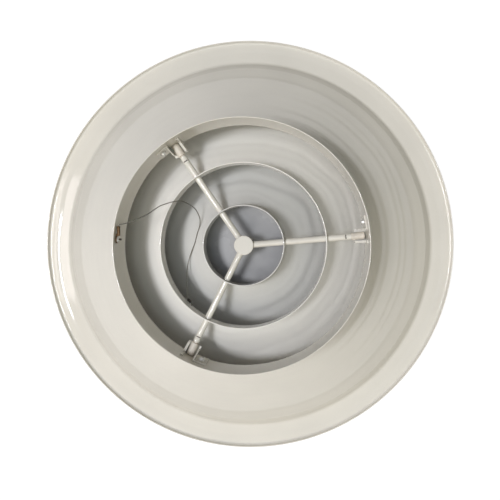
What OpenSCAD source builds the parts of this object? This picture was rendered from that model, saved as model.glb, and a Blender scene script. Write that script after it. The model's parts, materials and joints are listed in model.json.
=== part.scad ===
// Round ceiling air diffuser: an outer cone with a duct neck, and a lift-out core of two nested
// cones on a three-rod spider that hangs in cradles inside the neck.
// Z points up towards the duct, the origin is the centre of the face, and rod 1 lies along +X.

/* [Outer cone] */
// Outside diameter of the neck that the duct slips over
neck_d = 250; // [248:0.5:254]
// Height of the neck above the corner where the cone starts
neck_h = 39; // [36:0.5:42]
// Height from the face to the top edge of the neck
overall_h = 114; // [112:0.5:118]
// Outside diameter of the rim
rim_d = 474; // [470:1:486]
// Thickness of the spun sheet
sheet = 1.2; // [1:0.1:1.4]
// Height of the upturned edge of the rim
edge_h = 5; // [4.5:0.5:8]
// Height of the crease where the cone steps down to the flat of the rim
crease_h = 12; // [10:0.5:14]

/* [Inner cones] */
// Outside diameter of the middle cone's neck
middle_neck_d = 168; // [160:1:172]
// Outside diameter of the middle cone's rim
middle_rim_d = 336; // [330:1:340]
// Outside diameter of the centre cone's neck
centre_neck_d = 82; // [78:1:86]
// Outside diameter of the centre cone's rim
centre_rim_d = 252; // [246:1:256]
// How far the inner necks end below the top of the outer neck
inner_drop = 20; // [18:0.5:22]
// Height of the inner necks above the corner where their cones start
inner_neck_h = 20; // [18:0.5:22]
// Height of the closing plate of the centre cone
plate_h = 58; // [56:0.5:60]

/* [Spider] */
// How far the rods' axes lie below the top of the outer neck
rod_drop = 27.5; // [26.5:0.5:29]
// Outside diameter of the rods
rod_d = 6.5; // [6:0.1:7]
// Wall of the rod tube
rod_wall = 1; // [0.8:0.1:1.2]
// Diameter of the hub
hub_d = 19.6; // [18:0.2:22]
// Height of the hub
hub_h = 11; // [10:0.5:13]
// Diameter of the end caps
cap_d = 7.7; // [7.3:0.1:8]
// Length of the end caps beyond the rods
cap_l = 13.2; // [12:0.1:14]

/* [Cradles] */
// Clear width between the ears
ear_gap = 12; // [11:0.5:13]
// Height of the tall ear at the wall, on the rivet's side
tall_ear_h = 24; // [22:0.5:26]
// Height of the low ear, which the rod is lifted over
low_ear_h = 13; // [11:0.5:14]
// Angle from the rod round to the cradle's rivet
rivet_turn = 6.4; // [6:0.1:7]

/* [Safety wire] */
// Diameter of the wire
wire_d = 1; // [0.8:0.1:1.2]
// Angle round the neck where the wire is fixed
anchor_turn = 172.4; // [172:0.1:173]
// Angle round the middle cone where the sleeve on the wire lies
core_turn = 220.3; // [220:0.1:220.6]

/* [Hidden] */
$fn = 120;
arc_steps = 8;

paint = "#dbd8cc";
nylon = "#cdbeb2";
bright_metal = "#cfcfcb";
copper = "#7a5238";
dark_steel = "#4b4741";

// Outer cone, along its upper face from the neck's top edge out to the upturned edge
neck_r = neck_d / 2;
neck_in_r = neck_r - sheet;
rim_r = rim_d / 2;
flare_w = 50;
flare_h = 22;
crease_w = 34.5;
flat_w = 26;
outer_path = [
    [neck_r, overall_h],
    [neck_r, overall_h - neck_h],
    [rim_r - flare_w, flare_h],
    [rim_r - crease_w, crease_h],
    [rim_r - flat_w, sheet],
    [rim_r - sheet, sheet],
    [rim_r - sheet, edge_h]
];
outer_bends = [5, 100, 2.4, 5, 2.5];

// Inner cones, with parallel flares that flatten towards their rims
inner_top = overall_h - inner_drop;
inner_corner = inner_top - inner_neck_h;
inner_flare_w = 18;
inner_flare_h = 19;
inner_rim_h = 8;
inner_bends = [8, 80];
middle_r = middle_neck_d / 2;
middle_in_r = middle_r - sheet;
centre_r = centre_neck_d / 2;

// Closing plate, with a skirt that lies just under the centre cone's flare
skirt_w = 10;
skirt_gap = 0.1;
skirt_bend = 4;
flare_slope = (inner_corner - inner_flare_h) / (centre_rim_d / 2 - inner_flare_w - centre_r);
skirt_drop = (sheet + skirt_gap) * sqrt(1 + flare_slope * flare_slope);
plate_r = centre_r + (inner_corner - skirt_drop - plate_h) / flare_slope;
plate_path = [
    [0, plate_h],
    [plate_r, plate_h],
    [plate_r + skirt_w, plate_h - skirt_w * flare_slope]
];

// Spider, whose third arm sits a little off an even spacing, and two of whose end caps have slipped
// out of their rods a little
arm_turns = [0, 120, 238.8];
cap_slips = [0, 1.2, 1.2];
arms = len(arm_turns);
rod_z = overall_h - rod_drop;
rod_from = 4;
cap_to_wall = 1.6;
rod_to = neck_in_r - cap_to_wall - cap_l;
rod_hole_d = rod_d + 0.7;
hub_bore_d = rod_d + 0.1;
hub_top = rod_z + hub_h / 2;
hub_chamfer = 0.8;
stem_d = rod_d - 2 * rod_wall - 0.1;
stem_l = 14;
cap_chamfer = 0.6;
crimp_at = rod_to - 5.8;
crimp_r = 1.5;
crimp_deep = 0.6;

// Cradles, each with a tall ear, a low ear folded double, and a seat between them
cradle_sheet = 1.2;
cradle_gap = 0.05;
cradle_r = neck_in_r - cradle_gap;
cradle_in_r = cradle_r - cradle_sheet;
ear_to = cradle_r - cradle_sheet / 2;
ear_y = ear_gap / 2;
tall_ear_from = ear_to - 8;
tall_ear_slope = 1.5;
low_ear_from = ear_to - 10.8;
low_ear_flat = 4;
low_ear_slope = 0.6;
seat_gap = 0.2;
seat_top = rod_z - cap_d / 2 - seat_gap;
cradle_foot = seat_top - 3.7;
plate_before = 3.7;
plate_after = 2.8;

// Rivets and the lug, in a wall's own axes: X up, Y round, Z inwards from the wall
shank_d = 3.2;
shank_hole_d = shank_d + 0.1;
head_d = 6.4;
head_h = 1.6;
mandrel_d = 2;
mandrel_floor = 0.3;
mandrel_stub = 2.2;
rivet_flush = 0.05;
rivet_z = 93.5;
lug_gap = 0.3;
lug_sheet = 1;
lug_ring_d = 8;
lug_start = 3.8;
lug_barrel_d = 3.2;
lug_barrel_l = 9.2;
lug_bore_d = wire_d + 0.6;
lug_axis = 2.3;
lug_tilt = 11;
tongue_w = 3.2;
tongue_l = lug_start + 2;
anchor_z = 105;

// Sleeves crimped on the wire: a long one along the middle neck's inside, and a short one outside
// its wire hole
ferrule_d = 3;
ferrule_l = 4.6;
stop_l = 2.6;
stop_gap = 0.3;
ferrule_z = 79;
ferrule_r = middle_in_r - 2.2;
wire_hole_turn = core_turn + 3.6;
wire_hole_d = wire_d + 0.8;
drill_l = 10;

// Safety wire: it leaves the lug, bends over the middle cone's neck, lies down on the centre
// cone, rises to the middle neck and goes out through it. The free points are X, Y and Z in
// millimetres.
wire_sides = 8;
wire_steps = 2;
wire_inset = 1.5;
wire_bend = 2;
wire_free = [
    [-118.4, 29.5, 107.6], [-117.4, 30.3, 107.5], [-115.4, 30.6, 107], [-112, 31, 106],
    [-106.5, 32.3, 104.5], [-100.2, 34.8, 103], [-94, 37.3, 101.3], [-89, 40, 99.6],
    [-84.5, 43, 98.2], [-79, 46, 97], [-72.5, 48, 95.5], [-68, 49, 95], [-64, 49.5, 94],
    [-59, 49.5, 91], [-55.5, 48, 87.5], [-52, 45.5, 83], [-48.5, 42, 77.5],
    [-46.5, 37, 72.5], [-45.5, 31.5, 69], [-46, 27, 67], [-47.5, 22, 66],
    [-50, 16.5, 65.5], [-53, 8, 64.5], [-57, 0, 62.5], [-60.5, -7, 60.5],
    [-63, -13.5, 59.5], [-64.5, -20, 60.5], [-65, -27.5, 63.5], [-64.6, -35, 68.5],
    [-64, -41, 73.5], [-63.7, -45, 76.7], [-63.6, -48, 78.4]
];
wire_lug_end = [
    for (t = [lug_start + wire_inset, lug_start + lug_barrel_l])
        at_wall(anchor_turn, neck_in_r - lug_axis, -t * cos(lug_tilt), anchor_z + t * sin(lug_tilt))
];
wire_core_end = [
    for (y = [-ferrule_l / 2, ferrule_l / 2, ferrule_l / 2 + wire_bend / 3])
        at_wall(core_turn, ferrule_r, y, ferrule_z),
    at_wall(core_turn, ferrule_r + wire_bend * 0.3, ferrule_l / 2 + wire_bend * 1.1, ferrule_z),
    for (r = [middle_in_r, middle_r + stop_gap + stop_l - wire_inset / 2])
        at_wall(wire_hole_turn, r, 0, ferrule_z)
];
wire_route = concat(wire_lug_end, wire_free, wire_core_end);

// Flat outlines of bent sheet
function unit(v) = v / norm(v);
function left_of(v) = [-v[1], v[0]];
function into(path, i) = unit(path[max(i, 1)] - path[max(i, 1) - 1]);
function out_of(path, i) = into(path, min(i + 1, len(path) - 1));
function turn_sign(path, i) = sign(cross(into(path, i), out_of(path, i)));
function reversed(list) = [for (i = [len(list) - 1 : -1 : 0]) list[i]];

// The path moved sideways by d, to the left where d is positive, with mitred corners
function shifted(path, d) = [
    for (i = [0 : len(path) - 1])
        let (a = into(path, i), b = out_of(path, i))
            path[i] + (left_of(a) + left_of(b)) * d / (1 + a * b)
];

// Corner i of the path drawn as an arc of radius r
function bend(path, i, r) =
    let (
        a = into(path, i),
        s = turn_sign(path, i),
        angle = acos(a * out_of(path, i)),
        centre = path[i] - a * r * tan(angle / 2) + left_of(a) * r * s,
        start = atan2(-left_of(a)[1] * s, -left_of(a)[0] * s)
    )
    [for (k = [0 : arc_steps])
        let (t = start + s * angle * k / arc_steps)
            centre + r * [cos(t), sin(t)]];

function rounded(path, radii) = [
    path[0],
    for (i = [1 : len(path) - 2]) each bend(path, i, radii[i - 1]),
    path[len(path) - 1]
];

// A sheet of thickness t below and inside the path, whose bends have these radii on the path
function sheet_outline(path, radii, t) = concat(
    rounded(path, radii),
    reversed(rounded(
        shifted(path, -t),
        [for (i = [1 : len(path) - 2]) radii[i - 1] + t * turn_sign(path, i)]
    ))
);

function cone_path(r, rim) = [
    [r, inner_top],
    [r, inner_corner],
    [rim - inner_flare_w, inner_flare_h],
    [rim, inner_rim_h]
];

// A point at radius r and height z, moved round by y along the tangent at angle a
function at_wall(a, r, y, z) = [r * cos(a) - y * sin(a), r * sin(a) + y * cos(a), z];

// A smooth curve through the points, and a tube swept along it
function curve_point(a, b, c, d, t) =
    b + (c - a) * t / 2 + (a - 2.5 * b + 2 * c - d / 2) * t * t
    + (1.5 * b - 1.5 * c + d / 2 - a / 2) * t * t * t;
function smooth(p, n) = [
    for (i = [0 : len(p) - 2], k = [0 : n - 1])
        curve_point(p[max(i - 1, 0)], p[i], p[i + 1], p[min(i + 2, len(p) - 1)], k / n),
    p[len(p) - 1]
];
function ring(p, along, d, sides) =
    let (across = unit(cross(along, [0, 0, 1])), up = cross(across, along))
    [for (k = [0 : sides - 1])
        p + d / 2 * (across * cos(360 * k / sides) + up * sin(360 * k / sides))];

module tube(path, d, sides) {
    last = len(path) - 1;
    points = [
        for (i = [0 : last])
            each ring(path[i], unit(path[min(i + 1, last)] - path[max(i - 1, 0)]), d, sides)
    ];
    walls = [
        for (i = [0 : last - 1], k = [0 : sides - 1])
            let (a = i * sides + k, b = i * sides + (k + 1) % sides)
                each [[a, a + sides, b], [b, a + sides, b + sides]]
    ];
    ends = [
        for (k = [1 : sides - 2])
            each [[0, k, k + 1], [last * sides, last * sides + k + 1, last * sides + k]]
    ];
    polyhedron(points, concat(walls, ends));
}

module spun(path, radii) {
    rotate_extrude() polygon(sheet_outline(path, radii, sheet));
}

module on_arm(i) {
    rotate([0, 0, arm_turns[i - 1]]) children();
}

module on_wall(a, r, z) {
    rotate([0, 0, a]) translate([r, 0, z]) rotate([0, -90, 0]) children();
}

// A round bar along the rods' axis
module bar(from, to, d) {
    translate([from, 0, rod_z]) rotate([0, 90, 0]) cylinder(d = d, h = to - from);
}

module wall_hole(a, r, z, d) {
    on_wall(a, r, z) cylinder(d = d, h = drill_l, center = true);
}

module rod_holes(r) {
    for (i = [1 : arms]) on_arm(i) bar(r - drill_l, r + drill_l, rod_hole_d);
}

module outer_cone() {
    color(paint) difference() {
        spun(outer_path, outer_bends);
        for (i = [1 : arms]) on_arm(i) wall_hole(rivet_turn, neck_in_r, rivet_z, shank_hole_d);
        wall_hole(anchor_turn, neck_in_r, anchor_z, shank_hole_d);
    }
}

module middle_cone() {
    color(paint) difference() {
        spun(cone_path(middle_r, middle_rim_d / 2), inner_bends);
        rod_holes(middle_r);
        wall_hole(wire_hole_turn, middle_in_r, ferrule_z, wire_hole_d);
    }
}

module centre_cone() {
    color(paint) difference() {
        spun(cone_path(centre_r, centre_rim_d / 2), inner_bends);
        rod_holes(centre_r);
    }
}

module centre_plate() {
    color(paint) spun(plate_path, [skirt_bend]);
}

module spider_hub() {
    r = hub_d / 2;
    c = hub_chamfer;
    color(paint) difference() {
        translate([0, 0, hub_top - hub_h]) rotate_extrude() polygon([
            [0, 0], [r - c, 0], [r, c], [r, hub_h - c], [r - c, hub_h], [0, hub_h]
        ]);
        for (i = [1 : arms]) on_arm(i) bar(rod_from, hub_d, hub_bore_d);
    }
}

module crimp(side) {
    translate([crimp_at, 0, rod_z + side * (rod_d / 2 + crimp_r - crimp_deep)])
        rotate([90, 0, 0]) cylinder(r = crimp_r, h = 2 * rod_d, center = true);
}

module rod() {
    color(paint) difference() {
        bar(rod_from, rod_to, rod_d);
        bar(rod_from - 1, rod_to + 1, rod_d - 2 * rod_wall);
        crimp(1);
        crimp(-1);
    }
}

module end_cap(slip) {
    r = cap_d / 2;
    c = cap_chamfer;
    color(nylon) translate([rod_to + slip, 0, rod_z]) rotate([0, 90, 0]) rotate_extrude() polygon([
        [0, -stem_l], [stem_d / 2, -stem_l], [stem_d / 2, 0], [r - c, 0],
        [r, c], [r, cap_l - c], [r - c, cap_l], [0, cap_l]
    ]);
}

// An ear between two faces y, from radius r out to the plate, level for a length flat at the
// plate's height h and then sloping down to its free end
module ear(y, r, h, flat, slope) {
    top = cradle_foot + h;
    translate([0, y[1], 0]) rotate([90, 0, 0]) linear_extrude(y[1] - y[0]) polygon([
        [r, cradle_foot], [ear_to, cradle_foot], [ear_to, top], [ear_to - flat, top],
        [r, top - (ear_to - flat - r) * slope]
    ]);
}

// The plate on the wall is cut away behind the end cap, down to the seat
module cradle() {
    outer_y = ear_y + cradle_sheet;
    inner_y = ear_y - cradle_sheet;
    color(paint) difference() {
        union() {
            rotate([0, 0, -plate_before])
                rotate_extrude(angle = plate_before + rivet_turn + plate_after)
                    translate([cradle_in_r, cradle_foot]) square([cradle_sheet, tall_ear_h]);
            ear([ear_y, outer_y], tall_ear_from, tall_ear_h, cradle_sheet, tall_ear_slope);
            ear([-outer_y, -inner_y], low_ear_from, low_ear_h, low_ear_flat, low_ear_slope);
            translate([low_ear_from, -outer_y, seat_top - cradle_sheet])
                cube([ear_to - low_ear_from, 2 * outer_y, cradle_sheet]);
        }
        translate([cradle_in_r - cradle_sheet, -inner_y, seat_top])
            cube([3 * cradle_sheet, ear_y + inner_y, tall_ear_h]);
        wall_hole(rivet_turn, cradle_r, rivet_z, shank_hole_d);
    }
}

// A blind rivet: the head stands on the sheet at height base, and the shank reaches back by grip
module rivet(base, grip) {
    dome_r = (head_d * head_d / 4 + head_h * head_h) / (2 * head_h);
    color(bright_metal) {
        intersection() {
            translate([0, 0, base + head_h - dome_r]) sphere(r = dome_r);
            translate([0, 0, base]) cylinder(d = head_d, h = head_h);
        }
        translate([0, 0, -grip]) cylinder(d = shank_d, h = grip + base);
    }
}

module cradle_rivet() {
    base = cradle_gap + cradle_sheet + rivet_flush;
    on_wall(rivet_turn, neck_in_r, rivet_z) difference() {
        rivet(base, sheet - rivet_flush);
        translate([0, 0, base + mandrel_floor]) cylinder(d = mandrel_d, h = head_h);
    }
}

// The lug's rivet still has the broken end of its pulling pin
module lug_rivet() {
    base = lug_gap + lug_sheet + rivet_flush;
    on_wall(anchor_turn, neck_in_r, anchor_z) {
        rivet(base, sheet - rivet_flush);
        color(bright_metal) cylinder(d = mandrel_d, h = base + head_h + mandrel_stub);
    }
}

// A crimped lug: a ring for the rivet, a tongue, and a barrel that the wire's end goes into
module wire_lug() {
    color(copper) on_wall(anchor_turn, neck_in_r, anchor_z) rotate([0, 0, lug_tilt]) difference() {
        union() {
            translate([0, 0, lug_gap]) cylinder(d = lug_ring_d, h = lug_sheet);
            translate([-tongue_w / 2, -tongue_l, lug_gap]) cube([tongue_w, tongue_l, lug_sheet]);
            translate([0, -lug_start, lug_axis])
                rotate([90, 0, 0]) cylinder(d = lug_barrel_d, h = lug_barrel_l);
        }
        translate([0, 0, lug_gap - 1]) cylinder(d = shank_hole_d, h = lug_sheet + 2);
        translate([0, -lug_start - 1, lug_axis])
            rotate([90, 0, 0]) cylinder(d = lug_bore_d, h = lug_barrel_l);
    }
}

module ferrule(l) {
    color(dark_steel) difference() {
        cylinder(d = ferrule_d, h = l);
        translate([0, 0, -1]) cylinder(d = lug_bore_d, h = l + 2);
    }
}

module wire_ferrule_inner() {
    on_wall(core_turn, ferrule_r, ferrule_z)
        rotate([90, 0, 0]) translate([0, 0, -ferrule_l / 2]) ferrule(ferrule_l);
}

module wire_ferrule_outer() {
    on_wall(wire_hole_turn, middle_r + stop_gap + stop_l, ferrule_z) ferrule(stop_l);
}

module safety_wire() {
    color(dark_steel) tube(smooth(wire_route, wire_steps), wire_d, wire_sides);
}

outer_cone();
middle_cone();
centre_cone();
centre_plate();
spider_hub();
safety_wire();
wire_lug();
lug_rivet();
wire_ferrule_inner();
wire_ferrule_outer();
for (i = [1 : arms]) {
    on_arm(i) rod();
    on_arm(i) end_cap(cap_slips[i - 1]);
    on_arm(i) cradle();
    on_arm(i) cradle_rivet();
}
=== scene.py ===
"""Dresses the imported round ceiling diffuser: spun enamelled cones, a three-rod spider in its cradles,
rivets and the safety wire, lying face down on a pale floor and seen from the duct side."""

import json
import math

import bmesh
import bpy
import numpy as np
from mathutils import Matrix, Vector


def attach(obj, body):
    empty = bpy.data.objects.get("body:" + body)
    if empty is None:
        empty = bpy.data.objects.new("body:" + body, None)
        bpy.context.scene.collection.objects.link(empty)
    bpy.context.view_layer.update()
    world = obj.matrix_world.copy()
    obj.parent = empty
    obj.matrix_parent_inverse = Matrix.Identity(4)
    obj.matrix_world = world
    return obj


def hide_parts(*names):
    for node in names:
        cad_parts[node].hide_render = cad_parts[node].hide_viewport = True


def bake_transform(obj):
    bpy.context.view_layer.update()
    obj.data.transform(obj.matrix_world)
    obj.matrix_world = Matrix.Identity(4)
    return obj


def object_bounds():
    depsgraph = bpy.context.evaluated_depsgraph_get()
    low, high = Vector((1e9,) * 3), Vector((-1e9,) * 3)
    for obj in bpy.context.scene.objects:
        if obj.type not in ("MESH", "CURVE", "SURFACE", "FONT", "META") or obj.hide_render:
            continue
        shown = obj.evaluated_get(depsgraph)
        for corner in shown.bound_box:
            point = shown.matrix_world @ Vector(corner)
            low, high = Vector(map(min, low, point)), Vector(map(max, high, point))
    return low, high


bl_info = {
    "name": "Round Ceiling Diffuser",
    "version": (1, 0, 0),
    "blender": (4, 5, 0),
    "location": "View3D > Sidebar > Diffuser",
    "description": "Spun cones, spider, cradles and safety wire of a round ceiling air diffuser",
    "category": "Object",
}

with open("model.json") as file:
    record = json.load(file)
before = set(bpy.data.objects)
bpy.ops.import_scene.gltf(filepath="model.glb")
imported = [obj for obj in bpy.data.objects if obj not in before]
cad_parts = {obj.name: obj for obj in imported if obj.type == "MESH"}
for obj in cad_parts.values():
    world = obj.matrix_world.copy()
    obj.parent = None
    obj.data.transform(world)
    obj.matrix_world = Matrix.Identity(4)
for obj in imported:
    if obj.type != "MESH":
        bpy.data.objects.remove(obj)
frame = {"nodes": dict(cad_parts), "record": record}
CAD_LOW, CAD_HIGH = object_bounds()
NECK = next(m for m in frame["record"]["mounts"] if m["name"] == "neck")

MM = 0.001

# The spider's arms, in degrees, and how far each end cap has slipped out of its rod
ARM_TURNS = (0, 120, 238.8)
CAP_SLIPS = (0, 1.2 * MM, 1.2 * MM)

# Outer cone: width from the rim and height of the flare's foot, then the widths of the crease and
# the flat, and the bend at each corner from the neck outwards
FLARE_FOOT = (50 * MM, 22 * MM)
CREASE_WIDTH = 34.5 * MM
FLAT_WIDTH = 26 * MM
OUTER_BENDS = (5 * MM, 100 * MM, 2.4 * MM, 5 * MM, 2.5 * MM)

# Inner cones: width from the rim and height of the flare's foot, the rim's height and the bends
INNER_FOOT = (18 * MM, 19 * MM)
INNER_RIM_HEIGHT = 8 * MM
INNER_BENDS = (8 * MM, 80 * MM)
ROD_HOLE = 3.6 * MM

# Rounding of the spun sheets' cut edges, and how far the crimps lie from the rods' ends
CUT_EDGE = 0.58 * MM
CRIMP_FROM_END = 5.8 * MM

# Turns from each rod or round the neck in degrees, heights and holes of the rivets and the wire
RIVET_TURN = 6.4
RIVET_HEIGHT = 93.5 * MM
RIVET_HOLE = 1.65 * MM
LUG_TURN = 172.4
LUG_TILT = 11
LUG_HEIGHT = 105 * MM
SLEEVE_TURN = 220.3
WIRE_HOLE_TURN = 223.9
WIRE_HOLE_HEIGHT = 79 * MM
WIRE_HOLE = 0.9 * MM

# Safety wire from the lug on the neck, over the middle cone's lip and out through its wall, in mm
WIRE_FREE = (
    (-118.4, 29.5, 107.6), (-117.4, 30.3, 107.5), (-115.4, 30.6, 107), (-112, 31, 106),
    (-106.5, 32.3, 104.5), (-100.2, 34.8, 103), (-94, 37.3, 101.3), (-89, 40, 99.6),
    (-84.5, 43, 98.2), (-79, 46, 97), (-72.5, 48, 95.5), (-68, 49, 95), (-64, 49.5, 94),
    (-59, 49.5, 91), (-55.5, 48, 87.5), (-52, 45.5, 83), (-48.5, 42, 77.5),
    (-46.5, 37, 72.5), (-45.5, 31.5, 69), (-46, 27, 67), (-47.5, 22, 66),
    (-50, 16.5, 65.5), (-53, 8, 64.5), (-57, 0, 62.5), (-60.5, -7, 60.5),
    (-63, -13.5, 59.5), (-64.5, -20, 60.5), (-65, -27.5, 63.5), (-64.6, -35, 68.5),
    (-64, -41, 73.5), (-63.7, -45, 76.7), (-63.6, -48, 78.4),
)

# Broad waves that spinning left in the sheets: rings in a metre, height, how far they wander, and
# wanderings in a metre
OUTER_WAVES = (75, 0.5 * MM, 5 * MM, 9)
MIDDLE_WAVES = (48, 2.8 * MM, 15 * MM, 12)
INNER_WAVES = (45, 3.4 * MM, 15 * MM, 12)

# Light panels above the left side: place, length across, depth, watts and tint
PANELS = (
    ("high_panel", (-0.71, -0.03, 2.0), 0.38, 0.36, 20.6, (0.95, 0.96, 1.0)),
    ("long_panel", (-1.10, 0.09, 2.0), 0.64, 0.20, 2.0, (1.0, 0.935, 0.94)),
)

# Soft light from all round: direction and height in degrees, sharpness, and strength of each colour
SOFT_LIGHT = (
    (240, 62, 16, (1.80, 1.70, 1.56)),
    (300, 62, 16, (0.59, 0.66, 0.54)),
    (180, 62, 16, (0.30, 0.20, 0.05)),
    (270, 35, 16, (1.20, 1.00, 0.74)),
    (0, 10, 16, (0.30, 0.28, 0.16)),
    (60, 40, 16, (0.50, 0.42, 0.30)),
    (0, 90, 24, (0.22, 0.36, 0.64)),
)


def length(name, description, default):
    """A size in metres that shows in the sidebar."""
    return bpy.props.FloatProperty(
        name=name, description=description, default=default, unit="LENGTH", precision=4, min=0
    )


def tint(name, description, default):
    """A finish colour, in scene linear values."""
    return bpy.props.FloatVectorProperty(
        name=name, description=description, default=default, subtype="COLOR", min=0, max=1
    )


class DiffuserSizes(bpy.types.PropertyGroup):
    """Sizes of the diffuser's pieces"""

    height: length("Height", "From the face to the top edge of the neck", CAD_HIGH.z)
    rim_radius: length("Rim radius", "Outside radius of the rim", CAD_HIGH.x)
    neck_radius: length("Neck radius", "Outside radius of the duct neck", NECK["dims"]["r_mm"] * MM)
    neck_height: length("Neck height", "Height of the neck above its corner", 39 * MM)
    sheet: length("Sheet", "Thickness of the spun sheet", 1.2 * MM)
    edge_height: length("Edge height", "Height of the rim's upturned edge", 5 * MM)
    crease_height: length("Crease height", "Height of the crease above the flat of the rim", 12 * MM)
    inner_drop: length("Inner drop", "How far the inner necks end below the outer neck", 20 * MM)
    inner_neck_height: length("Inner neck height", "Height of the inner necks", 20 * MM)
    middle_neck_radius: length("Middle neck radius", "Outside radius of the middle neck", 84 * MM)
    middle_rim_radius: length("Middle rim radius", "Outside radius of the middle cone", 168 * MM)
    centre_neck_radius: length("Centre neck radius", "Outside radius of the small neck", 41 * MM)
    centre_rim_radius: length("Centre rim radius", "Outside radius of the centre cone", 126 * MM)
    plate_height: length("Plate height", "Height of the closing plate", 58 * MM)
    rod_drop: length("Rod drop", "How far the rods lie below the top of the outer neck", 27.5 * MM)
    rod_radius: length("Rod radius", "Outside radius of the rods", 3.25 * MM)
    rod_wall: length("Rod wall", "Wall of the rod tube", 1 * MM)
    hub_radius: length("Hub radius", "Radius of the hub", 9.8 * MM)
    hub_height: length("Hub height", "Height of the hub", 11 * MM)
    cap_radius: length("Cap radius", "Radius of the end caps", 3.85 * MM)
    cap_length: length("Cap length", "Length of the end caps beyond the rods", 13.2 * MM)
    cap_to_wall: length("Cap to wall", "Room between an end cap and the neck", 1.6 * MM)
    wire_diameter: length("Wire diameter", "Diameter of the safety wire", 1 * MM)


class DiffuserFinishes(bpy.types.PropertyGroup):
    """Colours of the diffuser's finishes"""

    enamel: tint("Enamel", "Baked enamel of the cones and the spider", (0.81, 0.79, 0.73))
    # Lighter, cooler copy of the frame's enamel on the middle cone: painted light, as the real cone has
    # the frame's enamel
    middle_enamel_painted_light: tint("Middle enamel", "Cooler enamel of the middle cone", (0.91, 0.90, 0.865))
    # Darker, greyer copy of the frame's enamel on the centre cone: painted shade, as the real cone has
    # the frame's enamel
    centre_enamel_painted_shade: tint("Inner enamel", "Thinner enamel of the centre cone", (0.735, 0.735, 0.715))
    nylon: tint("Nylon", "Moulded end caps", (0.77, 0.72, 0.645))
    aluminium: tint("Aluminium", "Blind rivets", (0.95, 0.95, 0.94))
    copper: tint("Copper", "Crimped lug", (0.30, 0.19, 0.11))
    wire: tint("Wire", "Stranded steel of the safety wire", (0.30, 0.29, 0.26))
    # The steel also darkens the rods' slit floors: painted shade
    steel: tint("Steel", "Wire sleeves and broken rivet pins", (0.10, 0.09, 0.08))
    zinc: tint("Zinc", "Galvanised closing plate", (0.345, 0.345, 0.35))
    floor: tint("Floor", "Pale studio floor", (0.80, 0.80, 0.80))


# Outlines of bent and turned pieces, as points and outward normals in radius and height


def left_of(v):
    """The direction to the left of a flat direction."""
    return Vector((-v.y, v.x))


def heading(path, i):
    """The direction in which the path reaches point i."""
    i = max(i, 1)
    return (path[i] - path[i - 1]).normalized()


def shifted(path, distance):
    """The path moved to its left by a distance, with mitred corners."""
    moved = []
    for i, point in enumerate(path):
        a, b = heading(path, i), heading(path, min(i + 1, len(path) - 1))
        moved.append(point + (left_of(a) + left_of(b)) * distance / (1 + a.dot(b)))
    return moved


def rounded(corners, closed, steps):
    """Points and outward normals of an outline whose corners are points with a bend radius."""
    outline = []
    last = len(corners) - 1
    for i, (point, radius) in enumerate(corners):
        if not closed and i in (0, last):
            along = corners[1][0] - point if i == 0 else point - corners[i - 1][0]
            outline.append((point, left_of(along.normalized())))
            continue
        a = (point - corners[i - 1][0]).normalized()
        b = (corners[(i + 1) % len(corners)][0] - point).normalized()
        side = 1 if a.cross(b) > 0 else -1
        angle = a.angle(b)
        centre = point - a * radius * math.tan(angle / 2) + left_of(a) * radius * side
        for k in range(steps + 1):
            spoke = Matrix.Rotation(side * angle * k / steps, 2) @ (left_of(a) * -side)
            outline.append((centre + spoke * radius, spoke * -side))
    return outline


def sheet_outline(path, bends, sheet, edge, steps=10):
    """Outline of a bent sheet below and inside a path, with its cut edges rounded off."""
    path = [Vector(p) for p in path]
    under = shifted(path, -sheet)
    under_bends = [
        r + math.copysign(sheet, heading(path, i + 1).cross(heading(path, i + 2)))
        for i, r in enumerate(bends)
    ]
    if path[0].x == 0:
        upper = [(path[0], 0), *zip(path[1:], [*bends, edge])]
        lower = [*zip(under[:0:-1], [edge, *reversed(under_bends)]), (under[0], 0)]
        return rounded(upper + lower, False, steps)
    upper = list(zip(path, [edge, *bends, edge]))
    lower = list(zip(reversed(under), [edge, *reversed(under_bends), edge]))
    return rounded(upper + lower, True, steps)


def turned_outline(corners, steps=6):
    """Outline of a turned piece from the axis at its top, outwards, down and back to the axis."""
    return rounded([(Vector((r, z)), edge) for r, z, edge in corners], False, steps)


# Meshes


def new_piece(name, mesh):
    """An object for a mesh, in the scene."""
    piece = bpy.data.objects.new(name, mesh)
    bpy.context.scene.collection.objects.link(piece)
    return piece


def revolve(name, outline, segments):
    """A smooth piece of revolution round Z. An outline that starts on the axis ends there too."""
    mesh = bpy.data.meshes.new(name)
    turns = [2 * math.pi * k / segments for k in range(segments)]
    points, normals, rings, faces = [], [], [], []
    for p, n in outline:
        first = len(points)
        if p.x < 1e-7:
            points.append((0, 0, p.y))
            normals.append((0, 0, math.copysign(1, n.y)))
            rings.append([first] * segments)
            continue
        for t in turns:
            c, s = math.cos(t), math.sin(t)
            points.append((p.x * c, p.x * s, p.y))
            normals.append((n.x * c, n.x * s, n.y))
        rings.append(list(range(first, first + segments)))
    closed = outline[0][0].x >= 1e-7
    for i in range(len(rings) if closed else len(rings) - 1):
        a, b = rings[i], rings[(i + 1) % len(rings)]
        for k in range(segments):
            m = (k + 1) % segments
            corner = dict.fromkeys((a[k], b[k], b[m], a[m]))
            faces.append(tuple(corner))
    mesh.from_pydata(points, [], faces)
    mesh.shade_smooth()
    mesh.normals_split_custom_set_from_vertices(normals)
    return new_piece(name, mesh)


def outline_normals(outline, places):
    """The outline's normals at radius and height places, each from the nearest stretch of it."""
    p = np.array([tuple(q) for q, _ in outline])
    n = np.array([tuple(q) for _, q in outline])
    step = np.roll(p, -1, 0) - p
    to = places[:, None, :] - p[None]
    share = np.clip((to * step).sum(2) / np.maximum((step * step).sum(1), 1e-18), 0, 1)
    gap = ((to - share[..., None] * step) ** 2).sum(2)
    i = gap.argmin(1)
    t = share[np.arange(len(i)), i][:, None]
    return n[i] * (1 - t) + np.roll(n, -1, 0)[i] * t


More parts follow.
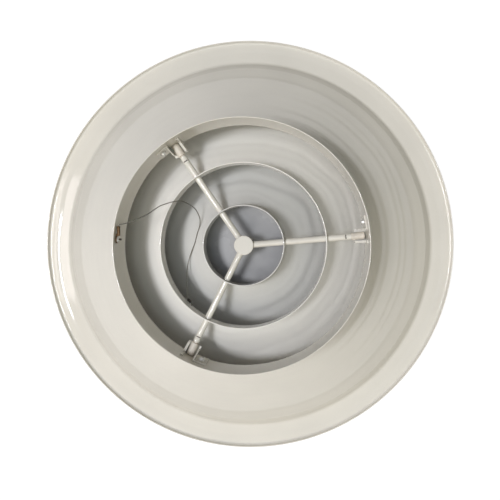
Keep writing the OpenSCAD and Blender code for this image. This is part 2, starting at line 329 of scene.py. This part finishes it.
def drill(piece, outline, holes):
    """Bores holes, each a matrix along Z and a radius, and keeps the sheet's smooth normals."""
    cutter = bpy.data.meshes.new("cutter")
    bm = bmesh.new()
    for matrix, radius in holes:
        bmesh.ops.create_cone(
            bm, cap_ends=True, segments=40, radius1=radius, radius2=radius, depth=12 * MM, matrix=matrix
        )
    bm.to_mesh(cutter)
    bm.free()
    tool = new_piece("cutter", cutter)
    cut = piece.modifiers.new("Holes", "BOOLEAN")
    cut.operation = "DIFFERENCE"
    cut.solver = "EXACT"
    cut.object = tool
    evaluated = piece.evaluated_get(bpy.context.evaluated_depsgraph_get())
    mesh = bpy.data.meshes.new_from_object(evaluated)
    piece.modifiers.clear()
    piece.data = mesh
    bpy.data.objects.remove(tool)
    co = np.zeros(len(mesh.vertices) * 3)
    mesh.vertices.foreach_get("co", co)
    co = co.reshape(-1, 3)
    r = np.hypot(co[:, 0], co[:, 1])
    flat = outline_normals(outline, np.stack([r, co[:, 2]], 1))
    smooth = np.stack([flat[:, 0] * co[:, 0] / r, flat[:, 0] * co[:, 1] / r, flat[:, 1]], 1)
    normals = [None] * len(mesh.loops)
    for polygon in mesh.polygons:
        own = np.array(polygon.normal)
        sheet_face = all(smooth[v] @ own > 0.8 for v in polygon.vertices)
        for loop, vertex in zip(polygon.loop_indices, polygon.vertices):
            normals[loop] = tuple(smooth[vertex] if sheet_face else own)
    mesh.shade_smooth()
    mesh.normals_split_custom_set(normals)


def curve_line(points, steps):
    """A smooth line through the points, with steps pieces between each two."""
    points = [Vector(p) for p in points]
    line = []
    for i in range(len(points) - 1):
        a, b = points[max(i - 1, 0)], points[i]
        c, d = points[i + 1], points[min(i + 2, len(points) - 1)]
        for k in range(steps):
            t = k / steps
            line.append(
                b + (c - a) * (t / 2) + (a - b * 2.5 + c * 2 - d / 2) * t**2
                + (b * 1.5 - c * 1.5 + d / 2 - a / 2) * t**3
            )
    return line + [points[-1]]


def swept_tube(name, line, radius, sides):
    """A round tube along a line, whose UV map holds the length along it and the turn round it."""
    bm = bmesh.new()
    uv = bm.loops.layers.uv.new("along_and_round")
    across = None
    rings, reach = [], [0.0]
    for i, point in enumerate(line):
        along = (line[min(i + 1, len(line) - 1)] - line[max(i - 1, 0)]).normalized()
        across = (across or along.cross(Vector((0, 0, 1)))) - along * along.dot(across or Vector())
        across = (across - along * along.dot(across)).normalized()
        up = along.cross(across)
        rings.append([
            bm.verts.new(point + (across * math.cos(t) + up * math.sin(t)) * radius)
            for t in (2 * math.pi * k / sides for k in range(sides))
        ])
        if i:
            reach.append(reach[-1] + (point - line[i - 1]).length)
    for i in range(len(line) - 1):
        for k in range(sides):
            m = (k + 1) % sides
            face = bm.faces.new((rings[i][k], rings[i][m], rings[i + 1][m], rings[i + 1][k]))
            face.smooth = True
            places = ((i, k), (i, k + 1), (i + 1, k + 1), (i + 1, k))
            for loop, (along_i, round_k) in zip(face.loops, places):
                loop[uv].uv = (reach[along_i] / MM, round_k / sides)
    bm.faces.new(reversed(rings[0]))
    bm.faces.new(rings[-1])
    bm.normal_update()
    mesh = bpy.data.meshes.new(name)
    bm.to_mesh(mesh)
    bm.free()
    return new_piece(name, mesh)


def on_arm(turn, radius, height):
    """Axes on a rod: Z outwards along it, and X down."""
    return (
        Matrix.Rotation(math.radians(turn), 4, "Z")
        @ Matrix.Translation((radius, 0, height))
        @ Matrix.Rotation(math.pi / 2, 4, "Y")
    )


def on_wall(turn, radius, height):
    """Axes on a neck's inside: Z inwards from the wall, X up and Y round."""
    return (
        Matrix.Rotation(math.radians(turn), 4, "Z")
        @ Matrix.Translation((radius, 0, height))
        @ Matrix.Rotation(-math.pi / 2, 4, "Y")
    )


def dress(piece, body, finish, slot, *nodes):
    """Gives a piece its finish, sets it on a body and lets it stand for its CAD nodes."""
    piece.data.materials.append(finish)
    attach(piece, body)
    if nodes:
        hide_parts(*nodes)
    return piece


# Finishes


def add_node(tree, kind, inputs=None, **settings):
    """A shader node with its settings, and with each input set to a value or joined to a socket."""
    made = tree.nodes.new(kind)
    for key, value in settings.items():
        setattr(made, key, value)
    for key, value in (inputs or {}).items():
        if isinstance(value, bpy.types.NodeSocket):
            tree.links.new(value, made.inputs[key])
        else:
            made.inputs[key].default_value = value
    return made


def new_finish(name):
    """An empty material and its node tree, or None for the tree where the material is there already."""
    if name in bpy.data.materials:
        return bpy.data.materials[name], None
    finish = bpy.data.materials.new(name)
    finish.use_nodes = True
    finish.node_tree.nodes.clear()
    return finish, finish.node_tree


def noise(tree, place, scale, detail=2.0, rough=0.5):
    """Values of a noise at a place."""
    made = add_node(
        tree, "ShaderNodeTexNoise",
        {"Vector": place, "Scale": scale, "Detail": detail, "Roughness": rough},
    )
    return made.outputs["Fac"]


def ranged(tree, value, low, high, to_low, to_high):
    """A value taken from one range to another, and kept inside it."""
    made = add_node(
        tree, "ShaderNodeMapRange",
        {"Value": value, "From Min": low, "From Max": high, "To Min": to_low, "To Max": to_high},
    )
    return made.outputs["Result"]


def mixed(tree, share, a, b):
    """A colour between two."""
    made = add_node(tree, "ShaderNodeMix", data_type="RGBA")
    for socket, value in ((made.inputs[0], share), (made.inputs[6], a), (made.inputs[7], b)):
        if isinstance(value, bpy.types.NodeSocket):
            tree.links.new(value, socket)
        else:
            socket.default_value = value
    return made.outputs[2]


def bumped(tree, height, strength, distance, normal=None):
    """A normal from a height."""
    inputs = {"Height": height, "Strength": strength, "Distance": distance}
    if normal:
        inputs["Normal"] = normal
    return add_node(tree, "ShaderNodeBump", inputs).outputs["Normal"]


def shaded(colour, factor):
    """A colour made darker or lighter, with full cover."""
    return (*(min(1.0, c * factor) for c in colour), 1.0)


def close(tree, **inputs):
    """Ends a material in a principled surface."""
    named = {key.replace("_", " ").title().replace("Ior", "IOR"): value for key, value in inputs.items()}
    surface = add_node(tree, "ShaderNodeBsdfPrincipled", named)
    add_node(tree, "ShaderNodeOutputMaterial", {"Surface": surface.outputs[0]})


def enamel(name, colour, waves=None):
    """Glossy baked enamel, with fine lathe rings and broad waves where the sheet was spun."""
    finish, tree = new_finish(name)
    if tree is None:
        return finish
    place = add_node(tree, "ShaderNodeTexCoord").outputs["Object"]
    peel = noise(tree, place, 420, 1.5)
    normal = bumped(tree, peel, 0.05, 0.2 * MM)
    if waves:
        ring_scale, height, wander, wander_scale = waves
        flat = add_node(tree, "ShaderNodeVectorMath", {0: place, 1: (1, 1, 0)}, operation="MULTIPLY")
        away = add_node(tree, "ShaderNodeVectorMath", {0: flat.outputs[0]}, operation="LENGTH")
        rings = add_node(
            tree, "ShaderNodeTexNoise",
            {"W": away.outputs["Value"], "Scale": 260, "Detail": 2.0}, noise_dimensions="1D",
        )
        normal = bumped(tree, rings.outputs["Fac"], 0.06, 0.4 * MM, normal)
        drift = ranged(tree, noise(tree, place, wander_scale, 1), 0, 1, -wander, wander)
        bent = add_node(tree, "ShaderNodeMath", {0: away.outputs["Value"], 1: drift}, operation="ADD")
        broad = add_node(
            tree, "ShaderNodeTexNoise",
            {"W": bent.outputs[0], "Scale": ring_scale, "Detail": 1.0}, noise_dimensions="1D",
        )
        normal = bumped(tree, broad.outputs["Fac"], 1.0, height, normal)
    cloud = noise(tree, place, 14, 3)
    speck = ranged(tree, noise(tree, place, 900, 0), 0.74, 0.80, 0, 0.25)
    share = ranged(tree, cloud, 0.35, 0.65, 0, 1)
    clean = mixed(tree, share, shaded(colour, 0.975), shaded(colour, 1.02))
    close(
        tree,
        base_color=mixed(tree, speck, clean, shaded(colour, 0.8)),
        roughness=ranged(tree, cloud, 0.3, 0.7, 0.04, 0.08),
        normal=normal,
    )
    return finish


def galvanised(name, colour):
    """Dull zinc on sheet, with the large soft flakes of its spangle."""
    finish, tree = new_finish(name)
    if tree is None:
        return finish
    place = add_node(tree, "ShaderNodeTexCoord").outputs["Object"]
    flakes = add_node(tree, "ShaderNodeTexVoronoi", {"Vector": place, "Scale": 70}, feature="SMOOTH_F1")
    cloud = noise(tree, place, 30, 3)
    share = ranged(tree, cloud, 0.35, 0.65, 0, 1)
    grey = mixed(tree, share, shaded(colour, 0.85), shaded(colour, 1.08))
    pale = ranged(tree, flakes.outputs["Distance"], 0.1, 0.6, 0, 0.3)
    close(
        tree,
        base_color=mixed(tree, pale, grey, shaded(colour, 1.2)),
        roughness=ranged(tree, cloud, 0.3, 0.7, 0.2, 0.32),
        normal=bumped(tree, flakes.outputs["Distance"], 0.05, 0.4 * MM),
    )
    return finish


def nylon(name, colour):
    """Moulded nylon, slightly milky, with a fine mould grain."""
    finish, tree = new_finish(name)
    if tree is None:
        return finish
    place = add_node(tree, "ShaderNodeTexCoord").outputs["Object"]
    grain = noise(tree, place, 2600, 2)
    cloud = noise(tree, place, 160, 3)
    share = ranged(tree, cloud, 0.3, 0.7, 0, 1)
    close(
        tree,
        base_color=mixed(tree, share, shaded(colour, 0.86), shaded(colour, 1.1)),
        roughness=ranged(tree, cloud, 0.3, 0.7, 0.36, 0.5),
        normal=bumped(tree, grain, 0.12, 0.05 * MM),
        subsurface_weight=0.2,
        subsurface_radius=(1.0, 1.0, 1.0),
        subsurface_scale=1.0 * MM,
    )
    return finish


def metal(name, colour, dull, rough, scale, bare=1.0):
    """Metal with darker oxide in clouds and fine scratches, bare or partly a pale non-metal, which is
    painted sheen.
    """
    finish, tree = new_finish(name)
    if tree is None:
        return finish
    place = add_node(tree, "ShaderNodeTexCoord").outputs["Object"]
    cloud = noise(tree, place, scale, 4, 0.6)
    scratch = noise(tree, place, scale * 8, 2)
    share = ranged(tree, cloud, 0.35, 0.65, 0, 1)
    close(
        tree,
        base_color=mixed(tree, share, shaded(colour, dull), shaded(colour, 1)),
        metallic=bare,
        roughness=ranged(tree, cloud, 0.3, 0.7, rough * 1.4, rough * 0.8),
        normal=bumped(tree, scratch, 0.15, 0.04 * MM),
    )
    return finish


def stranded_steel(name, colour):
    """Steel wire of fine strands that wind round it, from the tube's length and turn, with painted shade
    in the grooves between strands and painted highlight on their crowns.
    """
    finish, tree = new_finish(name)
    if tree is None:
        return finish
    place = add_node(tree, "ShaderNodeTexCoord").outputs["UV"]
    parts = add_node(tree, "ShaderNodeSeparateXYZ", {"Vector": place})
    lead = add_node(
        tree, "ShaderNodeMath", {0: parts.outputs["X"], 1: 0.14, 2: parts.outputs["Y"]},
        operation="MULTIPLY_ADD",
    )
    strands = add_node(
        tree, "ShaderNodeMath", {0: lead.outputs[0], 1: 14 * math.pi}, operation="MULTIPLY"
    )
    ridge = add_node(tree, "ShaderNodeMath", {0: strands.outputs[0]}, operation="SINE")
    ridge = ranged(tree, ridge.outputs[0], -1, 1, 0, 1)
    cloud = noise(tree, place, 0.6, 3)
    # Painted shade in the grooves between strands and painted highlight on their crowns
    lit = mixed(tree, ridge, shaded(colour, 0.45), shaded(colour, 1.25))
    close(
        tree,
        base_color=mixed(tree, ranged(tree, cloud, 0.4, 0.7, 0, 0.5), lit, shaded(colour, 0.6)),
        metallic=0.85,
        roughness=0.42,
        normal=bumped(tree, ridge, 0.6, 0.08 * MM),
    )
    return finish


# Pieces


def enamel_of(context):
    """The enamel of the frame and the spider."""
    return enamel("frame_enamel", context.scene.diffuser_finishes.enamel)


def steel_of(context):
    """The dark steel of the wire's sleeves and the rivets' pins, also on the rods' slit floors as bare
    cut steel and painted shade.
    """
    return metal("dark_steel", context.scene.diffuser_finishes.steel, 0.6, 0.4, 900)


def rod_height(sizes):
    """Height of the rods' axes."""
    return sizes.height - sizes.rod_drop


def rod_end(sizes):
    """Radius at which the rods end."""
    return sizes.neck_radius - sizes.sheet - sizes.cap_to_wall - sizes.cap_length


class DIFFUSER_OT_camera(bpy.types.Operator):
    """Sets the camera above the duct side"""

    bl_idname = "diffuser.camera"
    bl_label = "Camera"

    def execute(self, context):
        data = bpy.data.cameras.new("Camera")
        camera = bpy.data.objects.new("Camera", data)
        context.scene.collection.objects.link(camera)
        data.sensor_width = 36
        data.lens = 38.75
        data.shift_x = -0.0825
        data.shift_y = -0.0299
        data.clip_start = 0.01
        data.clip_end = 50
        camera.location = (48.45 * MM, 6.42 * MM, 632.3 * MM)
        camera.rotation_euler = (0, 0, math.radians(-4.7))
        context.scene.camera = camera
        return {"FINISHED"}


class DIFFUSER_OT_safety_wire(bpy.types.Operator):
    """Lays the safety wire between the neck and the middle cone"""

    bl_idname = "diffuser.safety_wire"
    bl_label = "Safety wire"

    def execute(self, context):
        sizes = context.scene.diffuser_sizes
        lug = on_wall(LUG_TURN, sizes.neck_radius - sizes.sheet, LUG_HEIGHT)
        lug = lug @ Matrix.Rotation(math.radians(LUG_TILT), 4, "Z")
        points = [lug @ Vector((0, -t * MM, 2.3 * MM)) for t in (5.3, 13)]
        points += [Vector(p) * MM for p in WIRE_FREE]
        inside = sizes.middle_neck_radius - sizes.sheet
        sleeve = Matrix.Rotation(math.radians(SLEEVE_TURN), 4, "Z")
        across = inside - 2.2 * MM
        for x, y in ((0, -2.3), (0, 2.3), (0, 2.3 + 2 / 3), (0.6, 4.5)):
            points.append(sleeve @ Vector((across + x * MM, y * MM, WIRE_HOLE_HEIGHT)))
        hole = Matrix.Rotation(math.radians(WIRE_HOLE_TURN), 4, "Z")
        for r in (inside, sizes.middle_neck_radius + 2.15 * MM):
            points.append(hole @ Vector((r, 0, WIRE_HOLE_HEIGHT)))
        line = curve_line(points, 4)
        wire = swept_tube("safety_wire_strand", line, sizes.wire_diameter / 2, 12)
        wire.data.materials.append(
            stranded_steel("stranded_steel", context.scene.diffuser_finishes.wire)
        )
        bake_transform(wire)
        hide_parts("safety_wire")
        sleeves = [frame["nodes"][n] for n in ("wire_ferrule_inner", "wire_ferrule_outer")]
        for piece in sleeves:
            piece.data.materials.clear()
            piece.data.materials.append(steel_of(context))
        return {"FINISHED"}


class DIFFUSER_OT_outer_cone(bpy.types.Operator):
    """Spins the outer cone with its duct neck and stepped rim"""

    bl_idname = "diffuser.outer_cone"
    bl_label = "Outer cone"

    def execute(self, context):
        s = context.scene.diffuser_sizes
        rim, t = s.rim_radius, s.sheet
        path = [
            (s.neck_radius, s.height),
            (s.neck_radius, s.height - s.neck_height),
            (rim - FLARE_FOOT[0], FLARE_FOOT[1]),
            (rim - CREASE_WIDTH, s.crease_height),
            (rim - FLAT_WIDTH, t),
            (rim - t, t),
            (rim - t, s.edge_height),
        ]
        outline = sheet_outline(path, OUTER_BENDS, t, CUT_EDGE, 12)
        cone = revolve("outer_cone_spun", outline, 288)
        places = [(turn + RIVET_TURN, RIVET_HEIGHT) for turn in ARM_TURNS]
        places.append((LUG_TURN, LUG_HEIGHT))
        drill(cone, outline, [(on_wall(turn, s.neck_radius, z), RIVET_HOLE) for turn, z in places])
        finish = enamel("spun_enamel", context.scene.diffuser_finishes.enamel, OUTER_WAVES)
        dress(cone, "frame", finish, "paint", "outer_cone")
        return {"FINISHED"}


class DIFFUSER_OT_inner_cones(bpy.types.Operator):
    """Spins the middle and centre cones and the closing plate"""

    bl_idname = "diffuser.inner_cones"
    bl_label = "Inner cones"

    def execute(self, context):
        s = context.scene.diffuser_sizes
        finishes = context.scene.diffuser_finishes
        # The middle cone wears a lighter copy of the frame's enamel: painted light
        outside = enamel("middle_spun_enamel_painted_light", finishes.middle_enamel_painted_light, MIDDLE_WAVES)
        # The centre cone wears a darker copy of the frame's enamel: painted shade
        inside = enamel("centre_spun_enamel_painted_shade", finishes.centre_enamel_painted_shade, INNER_WAVES)
        top = s.height - s.inner_drop
        corner = top - s.inner_neck_height
        foot_width, foot_height = INNER_FOOT
        for node, neck, rim, finish in (
            ("middle_cone", s.middle_neck_radius, s.middle_rim_radius, outside),
            ("centre_cone", s.centre_neck_radius, s.centre_rim_radius, inside),
        ):
            foot = (rim - foot_width, foot_height)
            path = [(neck, top), (neck, corner), foot, (rim, INNER_RIM_HEIGHT)]
            outline = sheet_outline(path, INNER_BENDS, s.sheet, CUT_EDGE, 12)
            cone = revolve(node + "_spun", outline, 240)
            holes = [(on_arm(turn, neck, rod_height(s)), ROD_HOLE) for turn in ARM_TURNS]
            if node == "middle_cone":
                holes.append((on_wall(WIRE_HOLE_TURN, neck, WIRE_HOLE_HEIGHT), WIRE_HOLE))
            drill(cone, outline, holes)
            dress(cone, "core", finish, "paint", node)
        slope = (corner - foot_height) / (s.centre_rim_radius - foot_width - s.centre_neck_radius)
        skirt, skirt_gap = 10 * MM, 0.1 * MM
        drop = (s.sheet + skirt_gap) * math.hypot(1, slope)
        edge = s.centre_neck_radius + (corner - drop - s.plate_height) / slope
        path = [
            (0, s.plate_height),
            (edge, s.plate_height),
            (edge + skirt, s.plate_height - skirt * slope),
        ]
        plate = revolve("centre_plate_spun", sheet_outline(path, [4 * MM], s.sheet, 0.42 * MM), 160)
        dress(plate, "core", galvanised("galvanised_zinc", finishes.zinc), "paint", "centre_plate")
        return {"FINISHED"}


class DIFFUSER_OT_spider(bpy.types.Operator):
    """Turns the hub and the crimped rods"""

    bl_idname = "diffuser.spider"
    bl_label = "Spider"

    def execute(self, context):
        s = context.scene.diffuser_sizes
        finish = enamel_of(context)
        half = s.hub_height / 2
        hub = revolve(
            "spider_hub_turned",
            turned_outline([
                (0, half, 0),
                (s.hub_radius, half, 0.9 * MM),
                (s.hub_radius, -half, 0.9 * MM),
                (0, -half, 0),
            ]),
            96,
        )
        hub.location.z = rod_height(s)
        dress(hub, "core", finish, "paint", "spider_hub")
        for i, turn in enumerate(ARM_TURNS, 1):
            rod = self.crimped_rod(f"rod_{i}_crimped", s)
            rod.matrix_world = on_arm(turn, 0, rod_height(s))
            dress(rod, "core", finish, "paint", f"rod_{i}")
            # Second finish of the rod: dark steel, painted shade on its slit floors
            rod.data.materials.append(steel_of(context))
        return {"FINISHED"}

    def crimped_rod(self, name, s):
        """A tube along Z, slit and pressed in near its end, above and below, to hold the cap's stem. The
        slit's floor takes the dark steel: bare cut steel and painted shade of the tube's inside.
        """
        sides, start, end = 40, 4 * MM, rod_end(s)
        crimp = end - CRIMP_FROM_END
        half_slit = 0.4 * MM
        slit_floor = s.rod_radius - 1.1 * MM
        lip = 0.3 * MM
        stations = [start + (crimp - 5 * MM - start) * k / 12 for k in range(12)]
        stations += [crimp - 5 * MM + 0.15 * MM * k for k in range(80)]
        stations = [x for x in stations if x < end - lip]
        inner = s.rod_radius - s.rod_wall
        shape = [(inner, start), *((s.rod_radius, x) for x in stations)]
        shape += [(s.rod_radius, end - lip), (s.rod_radius - lip, end)]
        shape += [(inner, end), (inner, end - 4.6 * MM)]
        bm = bmesh.new()
        rings = []
        for r, z in shape:
            press = max(0.0, 1 - ((z - crimp) / (1.6 * MM)) ** 2) ** 0.7 * 0.5 * MM
            flat = slit_floor if abs(z - crimp) < half_slit else s.rod_radius - press
            ring = []
            for k in range(sides):
                t = 2 * math.pi * k / sides
                up = max(-flat, min(flat, r * math.cos(t)))
                ring.append(bm.verts.new((up, r * math.sin(t), z)))
            rings.append(ring)
        for a, b, (_, low), (_, high) in zip(rings, rings[1:], shape, shape[1:]):
            slit = min(abs(low - crimp), abs(high - crimp)) < half_slit and low < high
            for k in range(sides):
                m = (k + 1) % sides
                face = bm.faces.new((a[k], a[m], b[m], b[k]))
                face.smooth = True
                # Slit floor faces take the dark steel: bare cut steel and painted shade where the slit
                # opens into the tube
                inside = abs(math.cos(2 * math.pi * (k + 0.5) / sides)) > slit_floor / s.rod_radius
                face.material_index = int(slit and inside)
        bm.faces.new(reversed(rings[0]))
        bm.faces.new(rings[-1])
        mesh = bpy.data.meshes.new(name)
        bm.to_mesh(mesh)
        bm.free()
        mesh.set_sharp_from_angle(angle=math.radians(40))
        return new_piece(name, mesh)


class DIFFUSER_OT_end_caps(bpy.types.Operator):
    """Turns the nylon end caps with their grooved stems"""

    bl_idname = "diffuser.end_caps"
    bl_label = "End caps"

    def execute(self, context):
        s = context.scene.diffuser_sizes
        finish = nylon("moulded_nylon", context.scene.diffuser_finishes.nylon)
        stem = s.rod_radius - s.rod_wall - 0.05 * MM
        for i, (turn, slip) in enumerate(zip(ARM_TURNS, CAP_SLIPS), 1):
            crimp = -CRIMP_FROM_END - slip
            shape = [
                (0, s.cap_length, 0),
                (s.cap_radius, s.cap_length, 0.7 * MM),
                (s.cap_radius, 0, 0.5 * MM),
                (stem, 0, 0.2 * MM),
                (stem, crimp + 0.9 * MM, 0.2 * MM),
                (1.2 * MM, crimp + 0.9 * MM, 0.2 * MM),
                (1.2 * MM, crimp - 0.9 * MM, 0.2 * MM),
                (stem, crimp - 0.9 * MM, 0.2 * MM),
                (stem, -14 * MM, 0.4 * MM),
                (0, -14 * MM, 0),
            ]
            cap = revolve(f"end_cap_{i}_moulded", turned_outline(shape), 64)
            cap.matrix_world = on_arm(turn, rod_end(s) + slip, rod_height(s))
            dress(cap, "core", finish, "nylon", f"end_cap_{i}")
        return {"FINISHED"}


class DIFFUSER_OT_cradles(bpy.types.Operator):
    """Finishes the folded cradles"""

    bl_idname = "diffuser.cradles"
    bl_label = "Cradles"

    def execute(self, context):
        for i in range(1, len(ARM_TURNS) + 1):
            piece = frame["nodes"][f"cradle_{i}"]
            piece.data.materials.clear()
            piece.data.materials.append(enamel_of(context))
        return {"FINISHED"}


class DIFFUSER_OT_rivets(bpy.types.Operator):
    """Turns the blind rivets of the cradles and of the wire's lug"""

    bl_idname = "diffuser.rivets"
    bl_label = "Rivets"

    def execute(self, context):
        s = context.scene.diffuser_sizes
        colour = context.scene.diffuser_finishes.aluminium
        # The rivets are half pale non-metal: painted sheen standing for reflections of bright
        # surroundings
        aluminium_painted_sheen = metal("rivet_aluminium", colour, 0.9, 0.22, 500, 0.5)
        wall = s.neck_radius - s.sheet
        for i, turn in enumerate(ARM_TURNS, 1):
            place = on_wall(turn + RIVET_TURN, wall, RIVET_HEIGHT)
            self.rivet(context, f"cradle_rivet_{i}", place, aluminium_painted_sheen, base=1.3, rise=3.2, pin=-1.0)
        place = on_wall(LUG_TURN, wall, LUG_HEIGHT)
        self.rivet(context, "lug_rivet", place, aluminium_painted_sheen, base=1.35, rise=1.6, pin=2.2)
        return {"FINISHED"}

    def rivet(self, context, node, place, aluminium_painted_sheen, base, rise, pin):
        """A domed head that rises from a sheet, and its broken pin above or below its top, in mm."""
        top = base + rise
        head = [
            (0, top - 1.2, 0), (1.05, top - 1.2, 0.1), (1.05, top - 0.1, 0.12), (2.4, top - 0.5, 1.2),
            (3.2, base + 0.35, 0.3), (3.2, base, 0.1), (1.6, base, 0.1), (1.6, -1.15, 0.2),
            (0, -1.15, 0),
        ]
        shape = turned_outline([(r * MM, z * MM, e * MM) for r, z, e in head])
        piece = revolve(node + "_set", shape, 56)
        piece.matrix_world = place
        dress(piece, "frame", aluminium_painted_sheen, "rivet", node)
        end = top + pin
        broken = [
            (0, end, 0), (0.7, end, 0.25), (1.0, end - 0.45, 0.2), (1.0, top - 1.19, 0.05),
            (0, top - 1.19, 0),
        ]
        shape = turned_outline([(r * MM, z * MM, e * MM) for r, z, e in broken])
        stub = revolve(node + "_set_pin", shape, 32)
        stub.matrix_world = place
        dress(stub, "frame", steel_of(context), "rivet")


class DIFFUSER_OT_wire_lug(bpy.types.Operator):
    """Finishes the crimped copper lug on the wire's neck end"""

    bl_idname = "diffuser.wire_lug"
    bl_label = "Wire lug"

    def execute(self, context):
        lug = frame["nodes"]["wire_lug"]
        lug.data.materials.clear()
        lug.data.materials.append(
            metal("crimped_copper", context.scene.diffuser_finishes.copper, 0.35, 0.38, 260)
        )
        return {"FINISHED"}


class DIFFUSER_OT_stage(bpy.types.Operator):
    """Sets the pale floor, the light panels and the soft light round the diffuser"""

    bl_idname = "diffuser.stage"
    bl_label = "Stage"

    def execute(self, context):
        context.scene.view_settings.view_transform = "Standard"
        self.floor(context)
        for panel in PANELS:
            self.panel(context, *panel)
        self.soft_light(context)
        return {"FINISHED"}

    def floor(self, context):
        """A pale floor that reads as white round the object and lights it as plain paint."""
        mesh = bpy.data.meshes.new("floor")
        w, z = 3.0, -0.4 * MM
        mesh.from_pydata([(-w, -w, z), (w, -w, z), (w, w, z), (-w, w, z)], [], [(0, 1, 2, 3)])
        floor = new_piece("floor", mesh)
        finish, tree = new_finish("pale_floor")
        place = add_node(tree, "ShaderNodeTexCoord").outputs["Object"]
        grain = noise(tree, place, 300, 2)
        paint = context.scene.diffuser_finishes.floor
        colour = mixed(tree, grain, shaded(paint, 0.99), shaded(paint, 1.01))
        plain = add_node(tree, "ShaderNodeBsdfDiffuse", {"Color": colour})
        dim = add_node(tree, "ShaderNodeBsdfDiffuse", {"Color": (0.42, 0.42, 0.42, 1)})
        glow = add_node(tree, "ShaderNodeEmission", {"Color": (1, 1, 1, 1), "Strength": 0.74})
        seen = add_node(tree, "ShaderNodeAddShader", {0: dim.outputs[0], 1: glow.outputs[0]})
        ray = add_node(tree, "ShaderNodeLightPath").outputs
        looked_at = ray["Is Camera Ray"]
        for kind in ("Is Glossy Ray", "Is Transmission Ray"):
            looked_at = add_node(
                tree, "ShaderNodeMath", {0: looked_at, 1: ray[kind]}, operation="MAXIMUM"
            ).outputs[0]
        away = add_node(tree, "ShaderNodeVectorMath", {0: place}, operation="LENGTH").outputs["Value"]
        rim = context.scene.diffuser_sizes.rim_radius
        outside = ranged(tree, away, rim - 12 * MM, rim - 4 * MM, 0, 1)
        share = add_node(tree, "ShaderNodeMath", {0: looked_at, 1: outside}, operation="MULTIPLY")
        surface = add_node(
            tree, "ShaderNodeMixShader", {0: share.outputs[0], 1: plain.outputs[0], 2: seen.outputs[0]}
        )
        add_node(tree, "ShaderNodeOutputMaterial", {"Surface": surface.outputs[0]})
        mesh.materials.append(finish)

    def panel(self, context, name, place, across, depth, watts, colour):
        """A flat light that looks at the middle of the diffuser, its length along Y."""
        data = bpy.data.lights.new(name, "AREA")
        data.shape = "RECTANGLE"
        data.size = across
        data.size_y = depth
        data.energy = watts
        data.color = colour
        light = bpy.data.objects.new(name, data)
        context.scene.collection.objects.link(light)
        light.location = place
        aim = Vector((0, 0, 0.05)) - light.location
        light.rotation_euler = aim.to_track_quat("-Z", "Y").to_euler()

    def soft_light(self, context):
        """Soft light from all round, stronger in some directions, and white behind the floor."""
        world = bpy.data.worlds.new("soft_light")
        context.scene.world = world
        world.use_nodes = True
        tree = world.node_tree
        tree.nodes.clear()
        way = add_node(tree, "ShaderNodeTexCoord").outputs["Generated"]
        total = None
        for turn, height, sharp, colour in SOFT_LIGHT:
            turn, height = math.radians(turn), math.radians(height)
            level = math.cos(height)
            axis = (math.cos(turn) * level, math.sin(turn) * level, math.sin(height))
            facing = add_node(tree, "ShaderNodeVectorMath", {0: way, 1: axis}, operation="DOT_PRODUCT")
            lit = add_node(
                tree, "ShaderNodeMath", {0: facing.outputs["Value"], 1: 0.0}, operation="MAXIMUM"
            )
            lobe = add_node(tree, "ShaderNodeMath", {0: lit.outputs[0], 1: sharp}, operation="POWER")
            part = add_node(
                tree, "ShaderNodeVectorMath", {0: colour, "Scale": lobe.outputs[0]}, operation="SCALE"
            ).outputs[0]
            total = part if total is None else add_node(
                tree, "ShaderNodeVectorMath", {0: total, 1: part}, operation="ADD"
            ).outputs[0]
        soft = add_node(tree, "ShaderNodeBackground", {"Color": total, "Strength": 1.0})
        white = add_node(tree, "ShaderNodeBackground", {"Color": (1, 1, 1, 1), "Strength": 1.0})
        behind = add_node(tree, "ShaderNodeLightPath").outputs["Is Camera Ray"]
        surface = add_node(
            tree, "ShaderNodeMixShader", {0: behind, 1: soft.outputs[0], 2: white.outputs[0]}
        )
        add_node(tree, "ShaderNodeOutputWorld", {"Surface": surface.outputs[0]})


STEPS = (
    DIFFUSER_OT_camera,
    DIFFUSER_OT_safety_wire,
    DIFFUSER_OT_outer_cone,
    DIFFUSER_OT_inner_cones,
    DIFFUSER_OT_spider,
    DIFFUSER_OT_end_caps,
    DIFFUSER_OT_cradles,
    DIFFUSER_OT_rivets,
    DIFFUSER_OT_wire_lug,
    DIFFUSER_OT_stage,
)


class DIFFUSER_PT_panel(bpy.types.Panel):
    """Lists the diffuser's sizes, finishes and steps"""

    bl_idname = "DIFFUSER_PT_panel"
    bl_label = "Ceiling diffuser"
    bl_space_type = "VIEW_3D"
    bl_region_type = "UI"
    bl_category = "Diffuser"

    def draw(self, context):
        for group in (context.scene.diffuser_sizes, context.scene.diffuser_finishes):
            box = self.layout.box()
            for name in group.__annotations__:
                box.prop(group, name)
        for step in STEPS:
            self.layout.operator(step.bl_idname)


CLASSES = (DiffuserSizes, DiffuserFinishes, *STEPS, DIFFUSER_PT_panel)


def register():
    for cls in CLASSES:
        bpy.utils.register_class(cls)
    bpy.types.Scene.diffuser_sizes = bpy.props.PointerProperty(type=DiffuserSizes)
    bpy.types.Scene.diffuser_finishes = bpy.props.PointerProperty(type=DiffuserFinishes)


def unregister():
    del bpy.types.Scene.diffuser_finishes
    del bpy.types.Scene.diffuser_sizes
    for cls in reversed(CLASSES):
        bpy.utils.unregister_class(cls)


def main():
    register()
    bpy.ops.diffuser.camera()
    bpy.ops.diffuser.safety_wire()
    bpy.ops.diffuser.outer_cone()
    bpy.ops.diffuser.inner_cones()
    bpy.ops.diffuser.spider()
    bpy.ops.diffuser.end_caps()
    bpy.ops.diffuser.cradles()
    bpy.ops.diffuser.rivets()
    bpy.ops.diffuser.wire_lug()
    bpy.ops.diffuser.stage()


if __name__ == "__main__":
    main()
